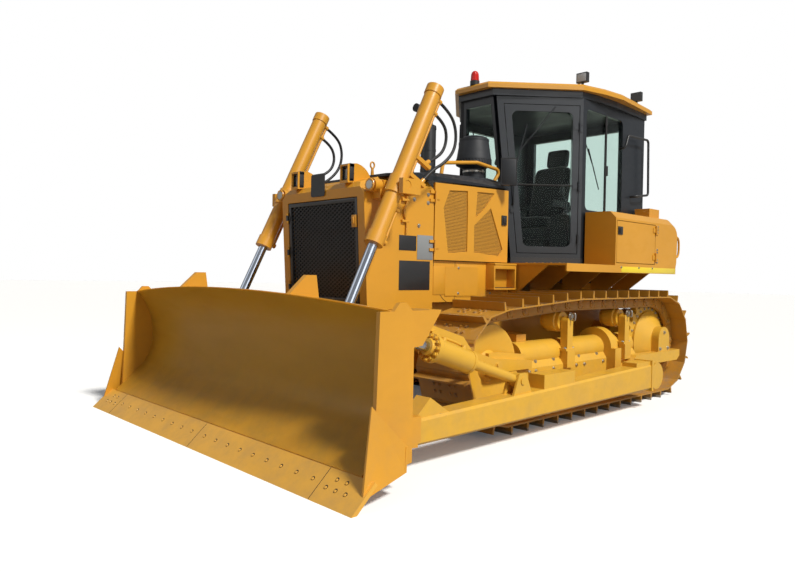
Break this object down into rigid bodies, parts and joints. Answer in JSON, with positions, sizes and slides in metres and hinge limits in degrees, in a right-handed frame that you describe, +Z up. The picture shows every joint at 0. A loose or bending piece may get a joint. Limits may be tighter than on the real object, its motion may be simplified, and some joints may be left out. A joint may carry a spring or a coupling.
{
  "type": "bulldozer",
  "caption": "Crawler bulldozer with a straight tilt blade on outside push arms, lift cylinders on the nose and a six-sided glazed cab.",
  "frame": {"origin": "on the ground under the middle of the machine's length", "axes": "+Z up, -Y forward to the blade, +X to the machine's left side"},
  "size_m": [3.444, 5.14, 3.1406],
  "materials": {
    "yellow_paint": "satin yellow-orange enamel",
    "track_paint": "yellow enamel over steel shoes",
    "cab_paint": "dark slate satin paint",
    "hood_paint": "dark slate satin paint",
    "dark_paint": "dark paint",
    "engine_paint": "grey engine paint",
    "black_metal": "black paint",
    "black_plastic": "matt black plastic",
    "console_plastic": "textured dark plastic",
    "edge_steel": "painted hardened steel",
    "chrome_rod": "polished chrome",
    "window_glass": "green tinted safety glass",
    "seat_fabric": "black woven cloth",
    "red_lens": "clear red lens",
    "lamp_lens": "clear lamp lens",
    "hose_rubber": "black hydraulic hose"
  },
  "bodies": {
    "tractor": {"air_precleaner": "black_plastic", "beacon": "red_lens", "beacon_base": "black_plastic", "cab_floor": "dark_paint", "cab_front_frame": "cab_paint", "cab_header": "cab_paint", "cab_left_frame": "cab_paint", "cab_rear_frame": "cab_paint", "cab_right_frame": "cab_paint", "cab_roof": "yellow_paint", "cab_trim": "black_metal", "control_console": "console_plastic", "cylinder_yokes": "yellow_paint", "drawbar": "yellow_paint", "engine_block": "engine_paint", "equalizer_bar": "yellow_paint", "exhaust_stack": "black_metal", "fenders": "yellow_paint", "final_drives": "yellow_paint", "fixed_glasses": "window_glass", "hood_handrail": "yellow_paint", "hood_lights": "yellow_paint", "hood_top": "hood_paint", "idlers": "yellow_paint", "left_box": "yellow_paint", "left_track": "track_paint", "main_frame": "yellow_paint", "operator_seat": "seat_fabric", "radiator_core": "black_metal", "radiator_guard": "yellow_paint", "rear_case": "yellow_paint", "right_tank": "yellow_paint", "right_track": "track_paint", "rollers": "yellow_paint", "roof_lamps": "lamp_lens", "seat_base": "console_plastic", "side_panels": "yellow_paint", "sprockets": "yellow_paint", "track_frames": "yellow_paint"},
    "blade_group": {"blade": "yellow_paint", "cutting_edge": "edge_steel", "push_arms": "yellow_paint", "tilt_cylinder": "yellow_paint", "tilt_brace": "yellow_paint"},
    "left_barrel": {"left_lift_barrel": "yellow_paint", "left_front_hose": "hose_rubber", "left_rear_hose": "hose_rubber"},
    "right_barrel": {"right_lift_barrel": "yellow_paint", "right_front_hose": "hose_rubber", "right_rear_hose": "hose_rubber"},
    "left_rod": {"left_lift_rod": "chrome_rod"},
    "right_rod": {"right_lift_rod": "chrome_rod"},
    "left_cab_door_group": {"left_cab_door": "cab_paint", "left_door_glass": "window_glass"},
    "right_cab_door_group": {"right_cab_door": "cab_paint", "right_door_glass": "window_glass"},
    "left_engine_door_group": {"left_engine_door": "yellow_paint"},
    "right_engine_door_group": {"right_engine_door": "yellow_paint"},
    "grille_door_group": {"grille_door": "black_metal"},
    "box_door_group": {"box_door": "yellow_paint"}
  },
  "joints": [
    {"name": "blade_lift", "type": "hinge", "parent": "tractor", "child": "blade_group", "pos_m": [1.35, 1.265, 0.3], "axis": [1, 0, 0], "range_deg": [-14.6, 8.3]},
    {"name": "left_barrel_swing", "type": "hinge", "parent": "tractor", "child": "left_barrel", "pos_m": [0.7, -1.349, 1.81], "axis": [1, 0, 0], "range_deg": [-14.26, 8.15]},
    {"name": "left_rod_slide", "type": "slide", "parent": "left_barrel", "child": "left_rod", "axis": [0, -0.4439, -0.8961], "range_m": [-0.769, 0.438]},
    {"name": "right_barrel_swing", "type": "hinge", "parent": "tractor", "child": "right_barrel", "pos_m": [-0.7, -1.349, 1.81], "axis": [1, 0, 0], "range_deg": [-14.26, 8.15]},
    {"name": "right_rod_slide", "type": "slide", "parent": "right_barrel", "child": "right_rod", "axis": [0, -0.4439, -0.8961], "range_m": [-0.769, 0.438]},
    {"name": "left_cab_door_hinge", "type": "hinge", "parent": "tractor", "child": "left_cab_door_group", "pos_m": [0.75668, 0.97149, 1.4], "axis": [0, 0, 1], "range_deg": [0, 85]},
    {"name": "right_cab_door_hinge", "type": "hinge", "parent": "tractor", "child": "right_cab_door_group", "pos_m": [-0.75668, 0.97149, 1.4], "axis": [0, 0, -1], "range_deg": [0, 85]},
    {"name": "left_engine_door_hinge", "type": "hinge", "parent": "tractor", "child": "left_engine_door_group", "pos_m": [0.536, -0.759, 1.3], "axis": [0, 0, -1], "range_deg": [0, 100]},
    {"name": "right_engine_door_hinge", "type": "hinge", "parent": "tractor", "child": "right_engine_door_group", "pos_m": [-0.536, -0.759, 1.3], "axis": [0, 0, 1], "range_deg": [0, 100]},
    {"name": "grille_hinge", "type": "hinge", "parent": "tractor", "child": "grille_door_group", "pos_m": [-0.438, -1.46017, 0.96], "axis": [0, 0.0607, -0.9982], "range_deg": [0, 35]},
    {"name": "box_door_hinge", "type": "hinge", "parent": "tractor", "child": "box_door_group", "pos_m": [1.122, 1.835, 1.32], "axis": [0, 0, 1], "range_deg": [0, 95]}
  ],
  "couplings": [
    {"joint": "left_barrel_swing", "follows": "blade_lift", "ratio": 0.97},
    {"joint": "left_rod_slide", "follows": "blade_lift", "m_per_rad": 3.01},
    {"joint": "right_barrel_swing", "follows": "blade_lift", "ratio": 0.97},
    {"joint": "right_rod_slide", "follows": "blade_lift", "m_per_rad": 3.01}
  ]
}
